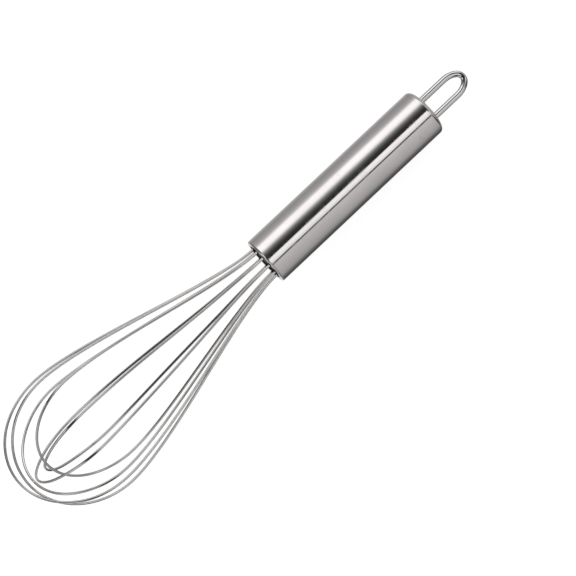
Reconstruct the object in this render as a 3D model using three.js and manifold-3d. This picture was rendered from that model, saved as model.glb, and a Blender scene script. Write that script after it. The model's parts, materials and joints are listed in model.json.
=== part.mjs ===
// Balloon whisk, all stainless steel: a closed tube handle with a wire hanging loop
// at one end and a balloon of six nested wire loops at the other.
// Millimetres. +X runs to the balloon's tip, +Z is up, and the whisk lies at rest
// on z = 0, on its cap's rim and on the two lowest wires.
import * as THREE from "three";
import { mergeVertices } from "three/addons/utils/BufferGeometryUtils.js";
import Module from "manifold-3d";

// Handle. Distances along the whisk's axis count from the mouth, positive to the tip.
const HANDLE_LENGTH = 95;
const TUBE_RADIUS = 11.1;
const TUBE_WALL = 0.6;
const MOUTH_ROUND = 0.9;
const MOUTH_LIP = 1.5;

// Cap that closes the handle, and the hanging loop that comes through it.
const CAP_FLAT_RADIUS = 6.9;
const CAP_DOME_DEPTH = 2.4;
const CAP_LAND = 0.5;
const CAP_WALL = 1.2;
const CAP_SPIGOT = 5;
const HANGER_WIRE = 2.9;
const HANGER_WIDTH = 8.8;
const HANGER_REACH = 22.4;
const HANGER_BEND = 7.2;
const ANCHOR_THICKNESS = 1.5;
const RIVETED_END = 0.7;

// Wire ends, held in a ring in the mouth.
const WIRE = 1.2;
const WIRE_GRIP = 19.5;
const RING_RADIUS = 7.5;
const PLUG_RECESS = 1.9;
const PLUG_THICKNESS = 5;
const PLUG_NOSE = -0.75;
const RESIN_THICKNESS = 14;

// Balloon. Each leg leaves the ring along the axis, eases out to the belly and turns
// over the tip in a quarter ellipse. Roll is a loop's angle above level, and lean and
// bow are how far its tip is bent sideways within its plane and out of it.
const LEG_EASE = 22;
const BELLY_EASE = 25;
const LOOPS = [
  { roll: 16.2, radius: 29.3, belly: 103.7, tip: 138.2, lean: -2.9, bow: 0 },
  { roll: -15.1, radius: 29.3, belly: 103.1, tip: 135.7, lean: 0.6, bow: 0.2 },
  { roll: 38.5, radius: 29.3, belly: 100.6, tip: 133.3, lean: -0.4, bow: 0.5 },
  { roll: 71.7, radius: 29, belly: 100.2, tip: 131.7, lean: 0, bow: 1.1 },
  { roll: -77.8, radius: 28.21, belly: 98.3, tip: 126.1, lean: 0, bow: -0.3 },
  { roll: -47.2, radius: 29.3, belly: 95.3, tip: 124.5, lean: -0.8, bow: 0.1 },
];

// How far the axis rises to the tip when the cap's rim and the lowest wires touch.
const REST_TILT = 5.16;

// Clearance between pieces that touch on the real whisk.
const GAP = 0.3;

// Fineness of the round shapes.
const TURNED_STEPS = 48;
const LOOP_STEPS = 64;
const LOOP_SIDES = 8;
const HANGER_STEPS = 36;
const HANGER_SIDES = 12;

const BORE = TUBE_RADIUS - TUBE_WALL;
const CAP_FACE = -HANDLE_LENGTH;
const CAP_SEAT = CAP_FACE + CAP_DOME_DEPTH + CAP_LAND;

const rad = THREE.MathUtils.degToRad;
const wasm = await Module();
wasm.setup();

const metal = (color, roughness) =>
  new THREE.MeshStandardMaterial({ color, roughness, metalness: 1 });
const moulded = (color, roughness) =>
  new THREE.MeshStandardMaterial({ color, roughness, metalness: 0 });
const satinSteel = metal(0xb9b7b6, 0.32);
const polishedSteel = metal(0xc9c9ca, 0.2);
const plainSteel = metal(0xa5a4a2, 0.45);
const darkPlug = moulded(0x1c1b1c, 0.6);
const amberResin = moulded(0x8a7a58, 0.45);

// The whisk's axis is this group's Z until the group is laid down at the end.
const whisk = new THREE.Group();

function add(name, geometry, material) {
  const mesh = new THREE.Mesh(geometry, material);
  mesh.name = name;
  whisk.add(mesh);
  return mesh;
}

// A turned piece from its outline of [radius, distance] points.
function turned(outline) {
  const points = outline.map(([r, z]) => new THREE.Vector2(r, z));
  return new THREE.LatheGeometry(points, TURNED_STEPS).rotateX(Math.PI / 2);
}

// A quarter of an ellipse about a centre, for a rounded corner of an outline.
function corner([r, z], [across, along], fromDegrees, toDegrees, steps) {
  return Array.from({ length: steps + 1 }, (_, i) => {
    const a = rad(fromDegrees + ((toDegrees - fromDegrees) * i) / steps);
    return [r + across * Math.cos(a), z + along * Math.sin(a)];
  });
}

// A disc from distance z on, with a round hole at each of the given [x, y] places.
function drilledDisc(radius, z, depth, places, holeRadius) {
  const outline = new THREE.Shape().absarc(0, 0, radius, 0, 2 * Math.PI);
  for (const [x, y] of places) {
    outline.holes.push(new THREE.Path().absarc(x, y, holeRadius, 0, 2 * Math.PI, true));
  }
  const options = { depth, bevelEnabled: false, curveSegments: TURNED_STEPS / 4 };
  return new THREE.ExtrudeGeometry(outline, options).translate(0, 0, z);
}

// A round wire along a path.
function roundWire(path, diameter, steps, sides) {
  const section = new THREE.Shape(
    Array.from({ length: sides }, (_, i) => {
      const a = (2 * Math.PI * i) / sides;
      return new THREE.Vector2(Math.cos(a), Math.sin(a)).multiplyScalar(diameter / 2);
    }),
  );
  return new THREE.ExtrudeGeometry(section, { steps, bevelEnabled: false, extrudePath: path });
}

// A place in a wire's plane.
const inPlane = (y, z) => new THREE.Vector3(0, y, z);

// The turn of a wire: half an ellipse from +across to -across, starting at z.
class Turn extends THREE.Curve {
  constructor(z, across, along) {
    super();
    Object.assign(this, { z, across, along });
  }
  getPoint(t, target = new THREE.Vector3()) {
    const y = this.across * Math.cos(Math.PI * t);
    const z = this.z + this.along * Math.sin(Math.PI * t);
    return target.set(0, y, z);
  }
}

// A flat wire knocked out of true, more towards its tip.
class Bent extends THREE.Curve {
  constructor(flat, tip, lean, bow) {
    super();
    Object.assign(this, { flat, tip, lean, bow });
  }
  getPoint(t, target = new THREE.Vector3()) {
    const out = Math.max(this.flat.getPoint(t, target).z, 0) / this.tip;
    target.x += this.bow * out * out;
    target.y += this.lean * out;
    return target;
  }
}

function joined(...curves) {
  const path = new THREE.CurvePath();
  for (const curve of curves) path.add(curve);
  return path;
}

function asSolid(geometry) {
  const bare = geometry.clone().deleteAttribute("normal").deleteAttribute("uv");
  const merged = mergeVertices(bare, 1e-4);
  return new wasm.Manifold(
    new wasm.Mesh({
      numProp: 3,
      vertProperties: merged.attributes.position.array,
      triVerts: new Uint32Array(merged.index.array),
    }),
  );
}

function asGeometry(manifold) {
  const { vertProperties, triVerts } = manifold.getMesh();
  const geometry = new THREE.BufferGeometry();
  geometry.setAttribute("position", new THREE.BufferAttribute(vertProperties, 3));
  geometry.setIndex(new THREE.BufferAttribute(triVerts, 1));
  geometry.computeVertexNormals();
  return geometry;
}

// Thin drawn tube, open at the cap's end, its mouth rolled in to a short lip.
function addHandleTube() {
  const seat = CAP_SEAT + GAP;
  const roll = [TUBE_RADIUS - MOUTH_ROUND, -MOUTH_ROUND];
  const outline = [
    [TUBE_RADIUS, seat],
    ...corner(roll, [MOUTH_ROUND, MOUTH_ROUND], 0, 90, 4),
    [BORE - MOUTH_LIP, 0],
    [BORE - MOUTH_LIP, -TUBE_WALL],
    [BORE - TUBE_WALL, -TUBE_WALL],
    [BORE, -2 * TUBE_WALL],
    [BORE, seat],
    [TUBE_RADIUS, seat],
  ];
  add("handle_tube", turned(outline), satinSteel);
}

const hangerHoles = [-1, 1].map((side) => [0, (side * HANGER_WIDTH) / 2]);
const hangerHoleRadius = HANGER_WIRE / 2 + GAP;

// Cap with a flat middle, an elliptical shoulder, a land flush with the tube and a
// hollow spigot inside it. Two drilled holes take the hanging loop's legs.
function addEndCap() {
  const spigot = BORE - GAP;
  const spigotEnd = CAP_SEAT + CAP_SPIGOT;
  const shoulder = [TUBE_RADIUS - CAP_FLAT_RADIUS, CAP_DOME_DEPTH];
  const outline = [
    [0, CAP_FACE],
    ...corner([CAP_FLAT_RADIUS, CAP_SEAT - CAP_LAND], shoulder, -90, 0, 8),
    [TUBE_RADIUS, CAP_SEAT],
    [spigot, CAP_SEAT],
    [spigot, spigotEnd],
    [spigot - CAP_WALL, spigotEnd],
    [spigot - CAP_WALL, CAP_SEAT],
    [0, CAP_SEAT],
  ];
  let cap = asSolid(turned(outline));
  for (const [x, y] of hangerHoles) {
    const drill = drilledDisc(hangerHoleRadius, CAP_FACE - GAP, CAP_SPIGOT, [], 0);
    cap = cap.subtract(asSolid(drill.translate(x, y, 0)));
  }
  add("end_cap", asGeometry(cap), satinSteel);
}

// Plate behind the cap that the loop's legs are riveted over.
function addAnchorPlate() {
  const radius = BORE - GAP - CAP_WALL - GAP;
  const z = CAP_SEAT + GAP;
  const plate = drilledDisc(radius, z, ANCHOR_THICKNESS, hangerHoles, hangerHoleRadius);
  add("loop_anchor_plate", plate, plainSteel);
}

// Hanging loop: two straight legs and a long round turn.
function addHangingLoop() {
  const legEnd = CAP_SEAT + GAP + ANCHOR_THICKNESS + RIVETED_END;
  const bendStart = CAP_FACE - HANGER_REACH + HANGER_WIRE / 2 + HANGER_BEND;
  const y = HANGER_WIDTH / 2;
  const path = joined(
    new THREE.LineCurve3(inPlane(y, legEnd), inPlane(y, bendStart)),
    new Turn(bendStart, y, -HANGER_BEND),
    new THREE.LineCurve3(inPlane(-y, bendStart), inPlane(-y, legEnd)),
  );
  add("hanging_loop", roundWire(path, HANGER_WIRE, HANGER_STEPS, HANGER_SIDES), polishedSteel);
}

// Where the wires pass the mouth: each loop's two legs, on opposite sides of the ring.
const wirePlaces = LOOPS.flatMap(({ roll }) =>
  [0, 180].map((side) => {
    const a = rad(roll + side);
    return [-RING_RADIUS * Math.sin(a), RING_RADIUS * Math.cos(a)];
  }),
);

// Moulded plug that spaces the wires, its nose inside the lip just short of the mouth,
// and the resin behind it that holds their ends.
function addMouthSeal() {
  const radius = BORE - GAP;
  const hole = WIRE / 2 + GAP;
  const plugBack = -PLUG_RECESS - PLUG_THICKNESS;
  const resinBack = plugBack - GAP - RESIN_THICKNESS;
  const disc = drilledDisc(radius, plugBack, PLUG_THICKNESS, wirePlaces, hole);
  const noseRadius = BORE - MOUTH_LIP - GAP;
  const nose = drilledDisc(noseRadius, plugBack, PLUG_NOSE - plugBack, wirePlaces, hole);
  add("mouth_plug", asGeometry(asSolid(disc).add(asSolid(nose))), darkPlug);
  add("potting_resin", drilledDisc(radius, resinBack, RESIN_THICKNESS, wirePlaces, hole), amberResin);
}

// One wire of the balloon, from its end in the resin out, over the tip and back.
function addWireLoop({ roll, radius, belly, tip, lean, bow }, number) {
  const end = (side) => inPlane(side * RING_RADIUS, -WIRE_GRIP);
  const leg = (side) => [
    inPlane(side * RING_RADIUS, 0),
    inPlane(side * RING_RADIUS, LEG_EASE),
    inPlane(side * radius, belly - BELLY_EASE),
    inPlane(side * radius, belly),
  ];
  const flat = joined(
    new THREE.LineCurve3(end(1), leg(1)[0]),
    new THREE.CubicBezierCurve3(...leg(1)),
    new Turn(belly, radius, tip - belly),
    new THREE.CubicBezierCurve3(...leg(-1).reverse()),
    new THREE.LineCurve3(leg(-1)[0], end(-1)),
  );
  const path = new Bent(flat, tip, lean, bow);
  const mesh = add(`wire_loop_${number}`, roundWire(path, WIRE, LOOP_STEPS, LOOP_SIDES), polishedSteel);
  mesh.rotation.z = rad(roll);
}

addHandleTube();
addEndCap();
addAnchorPlate();
addHangingLoop();
addMouthSeal();
LOOPS.forEach((loop, i) => addWireLoop(loop, i + 1));

// Laid down at its resting tilt, with the origin under the middle of its own box.
whisk.rotation.y = rad(90 - REST_TILT);
const box = new THREE.Box3().setFromObject(whisk, true);
const middle = box.getCenter(new THREE.Vector3());
whisk.position.set(-middle.x, -middle.y, -box.min.z);

const group = new THREE.Group();
group.add(whisk);

export default group;
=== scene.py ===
"""Balloon whisk in stainless steel, lying on a white table in a plain studio.

Every piece is made in the whisk's own frame, in millimetres: Z runs along its axis from
the mouth of the handle to the balloon's tip, Y is level, and X points down at the table.
place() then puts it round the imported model, which gives the axis and the cap's face.
"""

import json
import math

import bmesh
import bpy
import numpy as np
from mathutils import Matrix, Vector


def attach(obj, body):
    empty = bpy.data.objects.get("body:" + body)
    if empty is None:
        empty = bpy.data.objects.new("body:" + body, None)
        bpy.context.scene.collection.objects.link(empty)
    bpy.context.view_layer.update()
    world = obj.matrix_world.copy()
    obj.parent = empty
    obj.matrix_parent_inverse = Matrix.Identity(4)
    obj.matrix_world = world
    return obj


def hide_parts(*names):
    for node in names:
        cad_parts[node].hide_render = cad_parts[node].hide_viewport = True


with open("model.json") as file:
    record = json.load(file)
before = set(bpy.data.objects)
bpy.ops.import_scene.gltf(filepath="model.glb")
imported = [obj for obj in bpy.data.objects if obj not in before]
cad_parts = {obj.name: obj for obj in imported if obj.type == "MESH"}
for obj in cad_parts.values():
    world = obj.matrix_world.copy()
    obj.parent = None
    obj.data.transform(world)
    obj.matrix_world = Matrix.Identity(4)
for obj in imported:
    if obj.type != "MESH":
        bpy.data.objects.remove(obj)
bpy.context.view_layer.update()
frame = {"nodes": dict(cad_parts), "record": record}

MM = 0.001

# Handle. Distances along the axis count from the mouth, positive to the tip.
HANDLE_LENGTH = 95.0
TUBE_RADIUS = 11.1
TUBE_WALL = 0.6
MOUTH_ROUND = 0.95
MOUTH_LIP = 1.5
CAP_FLAT_RADIUS = 6.9
CAP_DOME_DEPTH = 2.4
CAP_LAND = 0.65
CAP_WALL = 1.2
CAP_SPIGOT = 5.0
SEAM = 0.03

# Hanging loop, and the countersunk holes that its legs go through.
HANGER_WIRE = 2.9
HANGER_WIDTH = 8.8
HANGER_REACH = 22.4
HANGER_BEND = 7.2
HANGER_LEG_END = 5.4
HOLE_CLEARANCE = 0.12
HOLE_DEPTH = 1.1
HOLE_EDGE_IN = 0.12
HOLE_EDGE_OUT = 0.05
SINK_RADIUS = 2.05
SINK_DEPTH = 0.3

# Wire ends, and the moulded plug that they come through. Its near-black face and the collars round the
# wires are partly the plug's own colour and partly painted shade of the mouth's shadowed gap.
WIRE = 1.2
RING_RADIUS = 7.5
PLUG_RECESS = 1.9
PLUG_THICKNESS = 5.0
PLUG_NOSE = -0.75
PLUG_EDGE = 0.2
PLUG_CROWN = 0.1
# The collars are dark sleeves of painted shade over the wires in the mouth's shadowed gap.
COLLAR_HEIGHT = 1.0
COLLAR_REACH = 0.07

# Balloon loops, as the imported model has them: the roll of each loop's plane, its belly's
# radius and distance, its tip's distance, and how far its tip is bent sideways within the
# plane (lean) and out of it (bow).
WIRE_GRIP = 19.5
LEG_EASE = 22.0
BELLY_EASE = 25.0
LOOPS = [
    dict(roll=16.2, radius=29.3, belly=103.7, tip=138.2, lean=-2.9, bow=0.0),
    dict(roll=-15.1, radius=29.3, belly=103.1, tip=135.7, lean=0.6, bow=0.2),
    dict(roll=38.5, radius=29.3, belly=100.6, tip=133.3, lean=-0.4, bow=0.5),
    dict(roll=71.7, radius=29.0, belly=100.2, tip=131.7, lean=0.0, bow=1.1),
    dict(roll=-77.8, radius=28.21, belly=98.3, tip=126.1, lean=0.0, bow=-0.3),
    dict(roll=-47.2, radius=29.3, belly=95.3, tip=124.5, lean=-0.8, bow=0.1),
]

# How far a wire strays from its true line, having been bent by hand: the stray grows to
# its full size over the first stretch out of the mouth, in a few turns end to end.
WIRE_WANDER = 0.1
WANDER_START = 30.0
WANDER_TURNS = (3, 7)

# Fineness of the meshes: steps round a turned piece, and sides of a wire.
TUBE_STEPS = 192
CAP_STEPS = 288
PLUG_STEPS = 720
HANGER_SIDES = 40
BALLOON_WIRE_SIDES = 20

# Camera, straight above: its height over the mouth, the width that it takes in at that
# height, where it stands from the mouth, and how the whisk is turned in the view.
VIEW_HEIGHT = 1053.75
VIEW_WIDTH = 242.8
VIEW_AHEAD = 0.4
VIEW_ASIDE = 14.62
VIEW_TURN = 43.33

# Studio. The steel mirrors what stands round the whisk: panels along its middle, darker
# stretches past them on the cap's side and the tip's side, and panels at both far ends.
# Each stretch is an angle round the whisk from straight overhead, positive towards +Y,
# and a tone. Each zone gives where along the whisk, from -1 at the cap's side to 1 at the
# tip's, one set of tones begins to give way to the next and where it has done so.
STUDIO_LEVEL = 1.32
SOFT_TONE = 0.33
CAP_SIDE_ZONE = (-0.34, -0.5)
TIP_SIDE_ZONE = (0.08, 0.3)
CAP_END_ZONE = (-0.52, -0.6)
TIP_END_ZONE = (0.52, 0.6)
WALL_ZONE = (0.8, 0.93)
PANEL_TONES = [
    (-180, 0.42),
    (-150, 0.40),
    (-126, 0.25),
    (-104, 0.29),
    (-90, 0.34),
    (-79, 0.50),
    (-71, 0.90),
    (-63, 1.00),
    (-51, 0.98),
    (-42, 0.82),
    (-35, 0.40),
    (-26, 0.13),
    (-14, 0.035),
    (3, 0.012),
    (5, 0.84),
    (13, 0.90),
    (23, 0.76),
    (28.5, 0.62),
    (30, 0.01),
    (34.5, 0.01),
    (36, 0.50),
    (60, 0.43),
    (90, 0.36),
    (108, 0.28),
    (125, 0.12),
    (150, 0.04),
    (180, 0.30),
]
CAP_SIDE_TONES = [
    (-180, 0.30),
    (-120, 0.28),
    (-95, 0.40),
    (-80, 0.85),
    (-58, 0.90),
    (-44, 0.20),
    (-28, 0.04),
    (30, 0.02),
    (40, 0.36),
    (90, 0.30),
    (130, 0.15),
    (180, 0.30),
]
TIP_SIDE_TONES = [
    (-180, 0.75),
    (-140, 0.20),
    (-100, 0.16),
    (-85, 0.24),
    (-65, 0.10),
    (-40, 0.02),
    (60, 0.02),
    (80, 0.12),
    (110, 0.16),
    (140, 0.20),
    (180, 0.75),
]
CAP_END_TONES = [
    (-180, 0.50),
    (-125, 0.30),
    (-95, 0.42),
    (-80, 0.88),
    (-52, 0.95),
    (-34, 0.20),
    (-24, 0.03),
    (12, 0.02),
    (17, 0.80),
    (32, 0.86),
    (38, 0.30),
    (45, 0.10),
    (60, 0.06),
    (120, 0.06),
    (150, 0.12),
    (180, 0.40),
]
TIP_END_TONES = [
    (-180, 0.40),
    (-140, 0.12),
    (-115, 0.07),
    (-62, 0.05),
    (-50, 0.20),
    (-42, 0.90),
    (-24, 0.98),
    (-12, 0.35),
    (-4, 0.04),
    (12, 0.03),
    (17, 0.60),
    (60, 0.50),
    (95, 0.45),
    (125, 0.20),
    (150, 0.16),
    (180, 0.50),
]
WALL_TONE = 0.34

# Table top, in metres, and how far it glows of itself.
TABLE_HALF_WIDTH = 4.0
TABLE_GLOW = 0.68


# ---------------------------------------------------------------- the whisk's own frame

mounts = {m["name"]: m for m in frame["record"]["mounts"]}
axis = -Vector(mounts["cap_face"]["axis"]).normalized()
mouth = Vector(mounts["cap_face"]["pos_m"]) + axis * HANDLE_LENGTH * MM
level = Vector((0, 1, 0))
down = level.cross(axis)
whisk_frame = Matrix.Translation(mouth) @ Matrix((down, level, axis)).transposed().to_4x4()
whisk_frame = whisk_frame @ Matrix.Diagonal((MM, MM, MM, 1))


def place(name, mesh, material, slot, *nodes):
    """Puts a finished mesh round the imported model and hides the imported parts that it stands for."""
    mesh.transform(whisk_frame)
    mesh.materials.append(material)
    piece = bpy.data.objects.new(name, mesh)
    bpy.context.scene.collection.objects.link(piece)
    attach(piece, "root")
    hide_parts(*nodes)
    return piece


# ------------------------------------------------------------------------- mesh making


def mesh_from(name, points, faces, lay, sharp=35):
    """A smooth mesh. Its lay says where each point sits along and round the metal, in
    millimetres, and the finishes follow it."""
    mesh = bpy.data.meshes.new(name)
    mesh.from_pydata([tuple(p) for p in points], [], faces)
    mesh.attributes.new("lay", "FLOAT_VECTOR", "POINT").data.foreach_set("vector", np.ravel(lay))
    shape = bmesh.new()
    shape.from_mesh(mesh)
    bmesh.ops.remove_doubles(shape, verts=shape.verts, dist=1e-5)
    bmesh.ops.recalc_face_normals(shape, faces=shape.faces)
    shape.to_mesh(mesh)
    shape.free()
    mesh.shade_smooth()
    mesh.set_sharp_from_angle(angle=math.radians(sharp))
    return mesh


def turned(name, outline, steps, closed=True, shaped=None):
    """An outline of (radius, distance) points turned about the axis. One that isn't
    closed starts and ends on the axis. shaped() moves the points before they are joined."""
    turn = 2 * np.pi * np.arange(steps) / steps
    outline = np.array(outline, float)
    points = np.array([(r * math.cos(a), r * math.sin(a), z) for r, z in outline for a in turn])
    if shaped:
        points = shaped(points)
    faces = []
    for j in range(len(outline) if closed else len(outline) - 1):
        k = (j + 1) % len(outline)
        for i in range(steps):
            n = (i + 1) % steps
            faces.append((j * steps + i, j * steps + n, k * steps + n, k * steps + i))
    return mesh_from(name, points, faces, points)


def arc(centre, size, start, stop, steps):
    """Part of an ellipse, as (radius, distance) points, for a rounded corner."""
    r, z = centre
    across, along = size
    angles = np.radians(np.linspace(start, stop, steps + 1))
    return [(r + across * math.cos(a), z + along * math.sin(a)) for a in angles]


def swept(name, path, radius, sides, facing):
    """A round wire along a path, its ends closed. Facing is square to the path's plane."""
    path = np.asarray(path, float)
    ahead = np.gradient(path, axis=0)
    ahead /= np.linalg.norm(ahead, axis=1)[:, None]
    across = np.cross(ahead, facing)
    across /= np.linalg.norm(across, axis=1)[:, None]
    upright = np.cross(across, ahead)
    turn = 2 * np.pi * np.arange(sides) / sides
    ring = np.cos(turn)[:, None] * across[:, None, :] + np.sin(turn)[:, None] * upright[:, None, :]
    points = (path[:, None, :] + radius * ring).reshape(-1, 3)
    run = np.concatenate([[0], np.cumsum(np.linalg.norm(np.diff(path, axis=0), axis=1))])
    lay = [(radius * math.cos(a), radius * math.sin(a), s) for s in run for a in turn]
    faces = []
    for a in range(0, (len(path) - 1) * sides, sides):
        b = a + sides
        for i in range(sides):
            n = (i + 1) % sides
            faces.append((a + i, a + n, b + n, b + i))
    last = (len(path) - 1) * sides
    faces.append(tuple(range(sides))[::-1])
    faces.append(tuple(last + i for i in range(sides)))
    return mesh_from(name, points, faces, lay, sharp=50)


def bezier(a, b, c, d, t):
    """Points at t along a cubic curve from a to d, drawn towards b and c on its way."""
    t = t[:, None]
    return (1 - t) ** 3 * a + 3 * (1 - t) ** 2 * t * b + 3 * (1 - t) * t**2 * c + t**3 * d


def smooth_step(value, start, stop):
    """0 up to start and 1 from stop on, with an easy slope between."""
    t = np.clip((value - start) / (stop - start), 0, 1)
    return t * t * (3 - 2 * t)


# ------------------------------------------------------------------------------ handle


def handle_shell(material):
    """Drawn tube, its mouth rolled over into a short lip."""
    bore = TUBE_RADIUS - TUBE_WALL
    seat = -HANDLE_LENGTH + CAP_DOME_DEPTH + CAP_LAND + SEAM
    inner_round = MOUTH_ROUND - TUBE_WALL
    lip = bore - MOUTH_LIP
    half = TUBE_WALL / 2
    side = np.linspace(seat, -MOUTH_ROUND, 40)[:-1]
    outline = [
        *[(TUBE_RADIUS, z) for z in side],
        *arc((TUBE_RADIUS - MOUTH_ROUND, -MOUTH_ROUND), (MOUTH_ROUND, MOUTH_ROUND), 0, 90, 12),
        *arc((lip + half, -half), (half, half), 90, 270, 10),
        *arc((bore - inner_round, -MOUTH_ROUND), (inner_round, inner_round), 90, 0, 6),
        (bore, seat),
    ]
    mesh = turned("handle_shell", outline, TUBE_STEPS)
    return place("handle_shell", mesh, material, "satin_steel", "handle_tube")


def sink_holes(points):
    """Presses the two countersunk holes for the hanging loop into the cap's face."""
    hole = HANGER_WIRE / 2 + HOLE_CLEARANCE
    outside = points[:, 2] < -HANDLE_LENGTH + CAP_DOME_DEPTH / 2
    for side in (-1, 1):
        away = np.hypot(points[:, 0], points[:, 1] - side * HANGER_WIDTH / 2)
        sunk = SINK_DEPTH * (1 - smooth_step(away, hole, SINK_RADIUS))
        edge = smooth_step(away, hole - HOLE_EDGE_IN, hole + HOLE_EDGE_OUT)
        sunk += HOLE_DEPTH * (1 - edge)
        points[:, 2] += np.where(outside, sunk, 0)
    return points


def handle_cap(material):
    """Pressed cap with a flat middle, a soft shoulder and a spigot inside the tube."""
    face = -HANDLE_LENGTH
    rim = face + CAP_DOME_DEPTH
    seat = rim + CAP_LAND
    shoulder = (TUBE_RADIUS - CAP_FLAT_RADIUS, CAP_DOME_DEPTH)
    spigot = TUBE_RADIUS - TUBE_WALL - SEAM
    flat = np.linspace(0, CAP_FLAT_RADIUS, 75)[:-1]
    outline = [
        *[(r, face) for r in flat],
        *arc((CAP_FLAT_RADIUS, rim), shoulder, -90, 0, 24),
        (TUBE_RADIUS, seat),
        (spigot, seat),
        (spigot, seat + CAP_SPIGOT),
        (spigot - CAP_WALL, seat + CAP_SPIGOT),
        (spigot - CAP_WALL, seat),
        (0, seat),
    ]
    mesh = turned("handle_cap", outline, CAP_STEPS, closed=False, shaped=sink_holes)
    return place("handle_cap", mesh, material, "satin_steel", "end_cap")


def hanger(material):
    """Hanging loop: two straight legs and a long round turn."""
    start = -HANDLE_LENGTH - HANGER_REACH + HANGER_WIRE / 2 + HANGER_BEND
    y = HANGER_WIDTH / 2
    straight = np.linspace(-HANDLE_LENGTH + HANGER_LEG_END, start, 30)[:-1]
    turn = np.linspace(0, np.pi, 90)
    path = [
        *[(0, y, z) for z in straight],
        *[(0, y * math.cos(a), start - HANGER_BEND * math.sin(a)) for a in turn],
        *[(0, -y, z) for z in straight[::-1]],
    ]
    mesh = swept("hanger_wire", path, HANGER_WIRE / 2, HANGER_SIDES, (1, 0, 0))
    return place("hanger_wire", mesh, material, "polished_wire", "hanging_loop")


# ----------------------------------------------------------------------- mouth and wires


def wire_places():
    """Where the wires come through the plug, as (x, y) points."""
    for loop in LOOPS:
        for side in (0, 180):
            a = math.radians(loop["roll"] + side)
            yield -RING_RADIUS * math.sin(a), RING_RADIUS * math.cos(a)


def raise_shade_collars(points):
    """Crowns the plug's nose and draws it up into a collar round each wire: dark sleeves of painted
    shade over the wires where they cross the mouth's shadowed gap.
    """
    front = points[:, 2] > PLUG_NOSE - PLUG_EDGE / 20
    out = np.hypot(points[:, 0], points[:, 1]) / (TUBE_RADIUS - TUBE_WALL - MOUTH_LIP)
    lift = PLUG_CROWN * (1 - out**2)
    for x, y in wire_places():
        away = np.hypot(points[:, 0] - x, points[:, 1] - y)
        lift = lift + COLLAR_HEIGHT * np.exp(-np.maximum(away - WIRE / 2, 0) / COLLAR_REACH)
    points[:, 2] += np.where(front, lift, 0)
    return points


def mouth_seal(material):
    """Moulded plug whose nose fills the lip, with the wires standing in small collars. Its near-black
    face and collars are partly the plug's own colour and partly painted shade of the mouth's
    shadowed gap. Its rows of points are closest where the collars rise."""
    radius = TUBE_RADIUS - TUBE_WALL - SEAM
    nose = radius - MOUTH_LIP
    back = -PLUG_RECESS - PLUG_THICKNESS
    inside = RING_RADIUS - WIRE
    rows = [*np.linspace(0, inside, 10)[:-1], *np.linspace(inside, nose - PLUG_EDGE, 48)[:-1]]
    outline = [
        *[(r, PLUG_NOSE) for r in rows],
        *arc((nose - PLUG_EDGE, PLUG_NOSE - PLUG_EDGE), (PLUG_EDGE, PLUG_EDGE), 90, 0, 6),
        (nose, -PLUG_RECESS),
        (radius, -PLUG_RECESS),
        (radius, back),
        (0, back),
    ]
    mesh = turned("mouth_seal", outline, PLUG_STEPS, closed=False, shaped=raise_shade_collars)
    return place("mouth_seal", mesh, material, "dark_plug", "mouth_plug")


def loop_path(loop, steps=90):
    """A balloon wire in its plane, as (sideways, distance) points, end to end."""
    radius, belly, tip = loop["radius"], loop["belly"], loop["tip"]
    grip = np.linspace(-WIRE_GRIP, 0, 8)[:-1]
    leg = bezier(
        np.array([RING_RADIUS, 0.0]),
        np.array([RING_RADIUS, LEG_EASE]),
        np.array([radius, belly - BELLY_EASE]),
        np.array([radius, belly]),
        np.linspace(0, 1, steps),
    )
    nose = np.linspace(0, np.pi / 2, steps)[1:]
    side = [
        *[(RING_RADIUS, z) for z in grip],
        *leg,
        *[(radius * math.cos(a), belly + (tip - belly) * math.sin(a)) for a in nose],
    ]
    side = np.array(side)
    other = side[-2::-1] * (-1, 1)
    path = np.vstack([side, other])
    path[:, 0] += loop["lean"] / tip * np.maximum(path[:, 1], 0)
    return path


def wander(count, z, seed):
    """Two slow waves along a wire, for its stray from true: none where it is gripped."""
    draw = np.random.default_rng(seed)
    t = np.linspace(0, 1, count)
    free = smooth_step(z, 0, WANDER_START)
    waves = []
    for _ in range(2):
        turns = draw.uniform(*WANDER_TURNS, 3)
        phases = draw.uniform(0, 2 * np.pi, 3)
        wave = sum(np.sin(2 * np.pi * k * t + p) for k, p in zip(turns, phases))
        waves.append(free * WIRE_WANDER * wave / 2)
    return waves


def balloon_wire(loop, number, material):
    """One of the balloon's wires, rolled to its place about the axis."""
    roll = math.radians(loop["roll"])
    outward = np.array([-math.sin(roll), math.cos(roll), 0])
    facing = np.array([math.cos(roll), math.sin(roll), 0])
    path = loop_path(loop)
    out = np.maximum(path[:, 1], 0) / loop["tip"]
    aside, proud = wander(len(path), path[:, 1], number)
    points = np.outer(path[:, 0] + proud, outward) + np.outer(path[:, 1], (0, 0, 1))
    points += np.outer(loop["bow"] * out**2 + aside, facing)
    name = f"balloon_wire_{number}"
    mesh = swept(name, points, WIRE / 2, BALLOON_WIRE_SIDES, facing)
    return place(name, mesh, material, "polished_wire", f"wire_loop_{number}")


# --------------------------------------------------------------------------- materials


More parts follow.
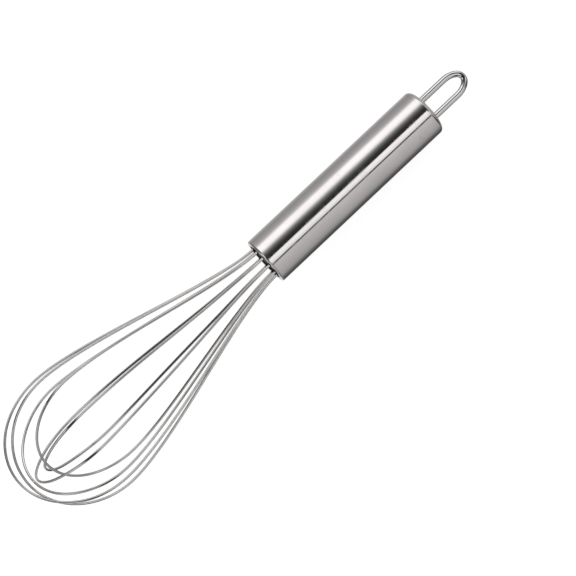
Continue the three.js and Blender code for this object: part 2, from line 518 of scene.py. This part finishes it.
class Nodes:
    """Adds nodes to one tree and links them."""

    def __init__(self, tree):
        self.tree = tree

    def add(self, kind, inputs=None, **settings):
        node = self.tree.nodes.new(kind)
        for name, value in settings.items():
            setattr(node, name, value)
        for key, value in (inputs or {}).items():
            self.feed(node.inputs[key], value)
        return node

    def feed(self, socket, value):
        if isinstance(value, bpy.types.NodeSocket):
            self.tree.links.new(value, socket)
        else:
            socket.default_value = value

    def math(self, operation, *values, clamp=False):
        inputs = dict(enumerate(values))
        node = self.add("ShaderNodeMath", inputs, operation=operation, use_clamp=clamp)
        return node.outputs[0]

    def scaled(self, place, by):
        node = self.add("ShaderNodeVectorMath", {0: place, 1: by}, operation="MULTIPLY")
        return node.outputs[0]

    def noise(self, place, scale, detail=2.0, roughness=0.5, distortion=0.0):
        settings = {
            "Vector": place,
            "Scale": scale,
            "Detail": detail,
            "Roughness": roughness,
            "Distortion": distortion,
        }
        return self.add("ShaderNodeTexNoise", settings).outputs[0]

    def ranged(self, value, low, high, to_low=0.0, to_high=1.0):
        settings = {
            "Value": value,
            "From Min": low,
            "From Max": high,
            "To Min": to_low,
            "To Max": to_high,
        }
        return self.add("ShaderNodeMapRange", settings, interpolation_type="SMOOTHSTEP").outputs[0]

    def blend(self, factor, first, second):
        settings = {"Factor": factor, 6: first, 7: second}
        return self.add("ShaderNodeMix", settings, data_type="RGBA").outputs[2]


def new_group(name, inputs, outputs):
    """An empty shader group. Inputs are (name, kind, value) and outputs (name, kind)."""
    tree = bpy.data.node_groups.new(name, "ShaderNodeTree")
    for label, kind, value in inputs:
        socket = tree.interface.new_socket(label, in_out="INPUT", socket_type=f"NodeSocket{kind}")
        socket.default_value = value
    for label, kind in outputs:
        tree.interface.new_socket(label, in_out="OUTPUT", socket_type=f"NodeSocket{kind}")
    nodes = Nodes(tree)
    return tree, nodes, nodes.add("NodeGroupInput").outputs, nodes.add("NodeGroupOutput").inputs


def buffing_lines():
    """Fine parallel lines left by drawing or buffing, in bundles of uneven strength.
    Stretch is how many there are in a millimetre, each way."""
    tree, nodes, given, out = new_group(
        "buffing_lines",
        [("Place", "Vector", (0, 0, 0)), ("Stretch", "Vector", (1, 1, 1))],
        [("Height", "Float"), ("Bundle", "Float")],
    )
    lines = nodes.scaled(given["Place"], given["Stretch"])
    fine = nodes.noise(lines, 1.0, 3.0, 0.7)
    bundle = nodes.noise(lines, 0.12, 2.0)
    nodes.feed(out["Bundle"], nodes.ranged(bundle, 0.35, 0.7))
    nodes.feed(out["Height"], nodes.math("MULTIPLY", fine, nodes.ranged(bundle, 0.2, 0.8, 0.4, 1.0)))
    return tree


def hairline_scratches():
    """Sparse fine scratches, each running a few millimetres and fading out."""
    tree, nodes, given, out = new_group(
        "hairline_scratches",
        [("Place", "Vector", (0, 0, 0)), ("Stretch", "Vector", (1, 1, 1)), ("Width", "Float", 0.01)],
        [("Scratch", "Float")],
    )
    lines = nodes.scaled(given["Place"], given["Stretch"])
    field = nodes.noise(lines, 1.0, 0.0, 0.5, 0.6)
    off = nodes.math("ABSOLUTE", nodes.math("SUBTRACT", field, 0.5))
    line = nodes.math("SUBTRACT", 1.0, nodes.math("DIVIDE", off, given["Width"]), clamp=True)
    here = nodes.ranged(nodes.noise(given["Place"], 0.22, 1.0), 0.55, 0.68)
    nodes.feed(out["Scratch"], nodes.math("MULTIPLY", line, here))
    return tree


def handling_haze():
    """Broad faint smears and small specks where the metal has been handled and wiped."""
    tree, nodes, given, out = new_group(
        "handling_haze",
        [("Place", "Vector", (0, 0, 0)), ("Size", "Float", 8.0)],
        [("Haze", "Float"), ("Speck", "Float")],
    )
    smear = nodes.noise(given["Place"], nodes.math("DIVIDE", 1.0, given["Size"]), 3.0, 0.55, 0.4)
    speck = nodes.noise(given["Place"], nodes.math("DIVIDE", 14.0, given["Size"]), 1.0)
    nodes.feed(out["Haze"], nodes.ranged(smear, 0.42, 0.72))
    nodes.feed(out["Speck"], nodes.ranged(speck, 0.66, 0.74))
    return tree


def metal_tone():
    """The metal's colour, drifting a little between two tones along and round it."""
    tree, nodes, given, out = new_group(
        "metal_tone",
        [
            ("Place", "Vector", (0, 0, 0)),
            ("Light", "Color", (1, 1, 1, 1)),
            ("Deep", "Color", (0.5, 0.5, 0.5, 1)),
            ("Mark", "Float", 0.0),
        ],
        [("Color", "Color")],
    )
    drift = nodes.ranged(nodes.noise(given["Place"], 0.07, 3.0), 0.3, 0.7)
    tone = nodes.blend(drift, given["Light"], given["Deep"])
    marked = nodes.blend(nodes.math("MULTIPLY", given["Mark"], 0.35), tone, (0.45, 0.43, 0.42, 1))
    nodes.feed(out["Color"], marked)
    return tree


def moulded_grain():
    """Fine pitting and dull patches on a moulded or poured surface."""
    tree, nodes, given, out = new_group(
        "moulded_grain",
        [("Place", "Vector", (0, 0, 0)), ("Grain", "Float", 3.0)],
        [("Height", "Float"), ("Patch", "Float")],
    )
    pits = nodes.noise(given["Place"], given["Grain"], 4.0, 0.6)
    swell = nodes.noise(given["Place"], 0.3, 2.0)
    nodes.feed(out["Height"], nodes.math("ADD", pits, nodes.math("MULTIPLY", swell, 2.0)))
    nodes.feed(out["Patch"], nodes.ranged(nodes.noise(given["Place"], 0.6, 3.0), 0.35, 0.65))
    return tree


effect_makers = (buffing_lines, hairline_scratches, handling_haze, metal_tone, moulded_grain)
EFFECTS = {make.__name__: make() for make in effect_makers}


def effect(nodes, name, **inputs):
    """Places one of the shared groups in a material and gives its outputs."""
    return nodes.add("ShaderNodeGroup", inputs, node_tree=EFFECTS[name]).outputs


def new_material(name, metallic, roughness):
    """A material with its nodes and its shader's inputs."""
    material = bpy.data.materials.new(name)
    material.use_nodes = True
    shader = material.node_tree.nodes["Principled BSDF"]
    shader.inputs["Metallic"].default_value = metallic
    shader.inputs["Roughness"].default_value = roughness
    return material, Nodes(material.node_tree), shader.inputs


def steel(name, place, light, deep, stretch, gloss, haze_size=8.0, relief=3e-7, wave=0.0):
    """Stainless steel. Gloss is its least and greatest roughness, relief the depth of its
    lines and wave the depth of its slow unevenness, in metres."""
    material, nodes, surface = new_material(name, 1.0, gloss[0])
    place = place(nodes)
    lines = effect(nodes, "buffing_lines", Place=place, Stretch=stretch)
    scratch = effect(
        nodes,
        "hairline_scratches",
        Place=place,
        Stretch=tuple(0.06 + 0.05 * s for s in stretch),
        Width=0.012,
    )["Scratch"]
    haze = effect(nodes, "handling_haze", Place=place, Size=haze_size)
    mark = nodes.math("MAXIMUM", scratch, nodes.math("MULTIPLY", haze["Speck"], 0.5))
    tone = effect(nodes, "metal_tone", Place=place, Light=light, Deep=deep, Mark=mark)["Color"]
    dulled = nodes.math("MULTIPLY_ADD", haze["Haze"], 0.6, nodes.math("MULTIPLY", lines["Bundle"], 0.4))
    dulled = nodes.math("MAXIMUM", dulled, mark)
    nodes.feed(surface["Base Color"], tone)
    nodes.feed(surface["Roughness"], nodes.ranged(dulled, 0.0, 1.0, *gloss))
    height = nodes.math("SUBTRACT", lines["Height"], scratch)
    bump = nodes.add("ShaderNodeBump", {"Strength": 1.0, "Distance": relief, "Height": height})
    if wave:
        slow = nodes.noise(place, 0.11, 1.0)
        settings = {"Strength": 1.0, "Distance": wave, "Height": slow, "Normal": bump.outputs[0]}
        bump = nodes.add("ShaderNodeBump", settings)
    nodes.feed(surface["Normal"], bump.outputs[0])
    return material


def along_lay(nodes):
    """Where a point sits along and round its own metal, in millimetres."""
    return nodes.add("ShaderNodeAttribute", attribute_name="lay").outputs["Vector"]


def in_space(nodes):
    """Where a point sits in the model, in millimetres."""
    where = nodes.add("ShaderNodeTexCoord").outputs["Object"]
    return nodes.scaled(where, (1 / MM, 1 / MM, 1 / MM))


def handle_steel():
    """Buffed tube: bright, with fine lines running round it."""
    return steel(
        "buffed_handle_steel",
        along_lay,
        light=(0.775, 0.742, 0.735, 1),
        deep=(0.735, 0.703, 0.698, 1),
        stretch=(0.3, 0.3, 7.0),
        gloss=(0.075, 0.17),
        relief=2e-7,
        wave=4e-6,
    )


def wire_steel():
    """Spring wire: bright, with fine lines running along it from the drawing die."""
    return steel(
        "drawn_wire_steel",
        along_lay,
        light=(0.79, 0.775, 0.765, 1),
        deep=(0.70, 0.685, 0.675, 1),
        stretch=(6.0, 6.0, 0.08),
        gloss=(0.05, 0.14),
        haze_size=14.0,
        relief=1e-7,
    )


def hanger_steel():
    """The loop's thicker wire, polished after it was bent."""
    return steel(
        "polished_loop_steel",
        along_lay,
        light=(0.80, 0.79, 0.785, 1),
        deep=(0.74, 0.73, 0.725, 1),
        stretch=(3.5, 3.5, 0.12),
        gloss=(0.03, 0.09),
        haze_size=10.0,
    )


def plate_steel():
    """Cold-rolled plate, grey and left as it came from the press."""
    return steel(
        "rolled_plate_steel",
        in_space,
        light=(0.56, 0.55, 0.54, 1),
        deep=(0.42, 0.41, 0.40, 1),
        stretch=(2.0, 0.15, 2.0),
        gloss=(0.32, 0.5),
        relief=2e-6,
    )


def cast(name, place, light, deep, grain, gloss, relief):
    """A moulded or poured material, a little uneven in colour and gloss."""
    material, nodes, surface = new_material(name, 0.0, gloss[0])
    grains = effect(nodes, "moulded_grain", Place=place(nodes), Grain=grain)
    nodes.feed(surface["Base Color"], nodes.blend(grains["Patch"], light, deep))
    nodes.feed(surface["Roughness"], nodes.ranged(grains["Patch"], 0.0, 1.0, *gloss))
    bump = nodes.add("ShaderNodeBump", {"Strength": 1.0, "Distance": relief, "Height": grains["Height"]})
    nodes.feed(surface["Normal"], bump.outputs[0])
    return material


def rubber_plug_with_painted_shade():
    """Near-black moulded plug with a dry, slightly dusty face. Its near-black is partly the plug's own
    dark colour and partly painted shade for the shadowed gap in the mouth.
    """
    # Near-black tones: partly the plug's own colour, partly painted shade of the mouth's shadowed gap.
    light, deep = (0.010, 0.010, 0.010, 1), (0.004, 0.004, 0.004, 1)
    material = cast("moulded_plug_with_painted_shade", along_lay, light, deep, 4.0, (0.5, 0.7), 1.5e-5)
    material.node_tree.nodes["Principled BSDF"].inputs["Specular IOR Level"].default_value = 0.2
    return material


def amber_resin():
    """Poured resin, clear amber turning cloudy."""
    light, deep = (0.36, 0.23, 0.09, 1), (0.20, 0.11, 0.035, 1)
    return cast("poured_amber_resin", in_space, light, deep, 1.5, (0.18, 0.36), 2e-5)


def dress(node, material):
    """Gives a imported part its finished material."""
    frame["nodes"][node].data.materials.clear()
    frame["nodes"][node].data.materials.append(material)


# ------------------------------------------------------------------------------- build

satin = handle_steel()
bright = wire_steel()
handle_shell(satin)
handle_cap(satin)
hanger(hanger_steel())
mouth_seal(rubber_plug_with_painted_shade())
for i, loop in enumerate(LOOPS):
    balloon_wire(loop, i + 1, bright)
dress("potting_resin", amber_resin())
dress("loop_anchor_plate", plate_steel())


# ------------------------------------------------------------------------------ studio


def studio_floor():
    """White table top, lit so that only a faint shadow shows where the whisk touches."""
    mesh = bpy.data.meshes.new("table_top")
    half = TABLE_HALF_WIDTH
    corners = [(-half, -half, 0), (half, -half, 0), (half, half, 0), (-half, half, 0)]
    mesh.from_pydata(corners, [], [(0, 1, 2, 3)])
    floor = bpy.data.objects.new("table_top", mesh)
    bpy.context.scene.collection.objects.link(floor)
    material, nodes, surface = new_material("white_table", 0.0, 0.6)
    mottle = nodes.noise(in_space(nodes), 0.02, 3.0)
    white = nodes.blend(mottle, (0.86, 0.86, 0.86, 1), (0.84, 0.84, 0.84, 1))
    nodes.feed(surface["Base Color"], white)
    surface["Emission Color"].default_value = (1, 1, 1, 1)
    surface["Emission Strength"].default_value = TABLE_GLOW
    surface["Specular IOR Level"].default_value = 0.0
    mesh.materials.append(material)
    floor.visible_glossy = False


def studio_world():
    """Soft light all round. The steel mirrors bright and dark panels that run along the
    whisk, and a plain wall straight past each end of it."""
    world = bpy.data.worlds.new("studio")
    world.use_nodes = True
    nodes = Nodes(world.node_tree)
    world.node_tree.nodes.clear()
    where = nodes.add("ShaderNodeTexCoord").outputs["Generated"]
    x, y, z = nodes.add("ShaderNodeSeparateXYZ", {0: where}).outputs
    turn = nodes.math("ARCTAN2", y, z)
    turn = nodes.math("MULTIPLY_ADD", turn, 1 / (2 * math.pi), 0.5)
    mirrored = tones_round(nodes, turn, PANEL_TONES)
    for zone, tones in (
        (CAP_SIDE_ZONE, CAP_SIDE_TONES),
        (TIP_SIDE_ZONE, TIP_SIDE_TONES),
        (CAP_END_ZONE, CAP_END_TONES),
        (TIP_END_ZONE, TIP_END_TONES),
    ):
        past = nodes.ranged(x, *zone)
        mirrored = nodes.blend(past, mirrored, tones_round(nodes, turn, tones))
    wall = nodes.ranged(nodes.math("ABSOLUTE", x), *WALL_ZONE)
    mirrored = nodes.blend(wall, mirrored, grey(WALL_TONE))
    rays = nodes.add("ShaderNodeLightPath").outputs
    soft = nodes.blend(rays["Is Diffuse Ray"], mirrored, grey(SOFT_TONE))
    studio = nodes.add("ShaderNodeBackground", {"Color": soft, "Strength": STUDIO_LEVEL})
    paper = nodes.add("ShaderNodeBackground", {"Color": (1, 1, 1, 1), "Strength": 1.0})
    inputs = {0: rays["Is Camera Ray"], 1: studio.outputs[0], 2: paper.outputs[0]}
    mixed = nodes.add("ShaderNodeMixShader", inputs)
    nodes.add("ShaderNodeOutputWorld", {"Surface": mixed.outputs[0]})
    bpy.context.scene.world = world


def tones_round(nodes, turn, tones):
    """Grey tones set at angles round the whisk, blended between them."""
    node = nodes.add("ShaderNodeValToRGB", {0: turn})
    elements = node.color_ramp.elements
    while len(elements) < len(tones):
        elements.new(1.0)
    for element, (angle, tone) in zip(elements, tones):
        element.position = angle / 360 + 0.5
        element.color = grey(tone)
    return node.outputs[0]


def grey(tone):
    return (tone, tone, tone, 1)


def studio_camera():
    """Camera straight above the whisk, turned so that the whisk lies across the view."""
    turn = math.radians(VIEW_TURN)
    right = Vector((-math.cos(turn), math.sin(turn), 0))
    top = Vector((-math.sin(turn), -math.cos(turn), 0))
    camera = bpy.data.cameras.new("studio_camera")
    camera.sensor_width = 36
    camera.lens = camera.sensor_width * VIEW_HEIGHT / VIEW_WIDTH
    stand = bpy.data.objects.new("studio_camera", camera)
    spot = mouth + Vector((VIEW_AHEAD, VIEW_ASIDE, VIEW_HEIGHT)) * MM
    facing = Matrix((right, top, Vector((0, 0, 1)))).transposed().to_4x4()
    stand.matrix_world = Matrix.Translation(spot) @ facing
    bpy.context.scene.collection.objects.link(stand)
    bpy.context.scene.camera = stand


studio_floor()
studio_world()
studio_camera()
bpy.context.scene.view_settings.view_transform = "Standard"
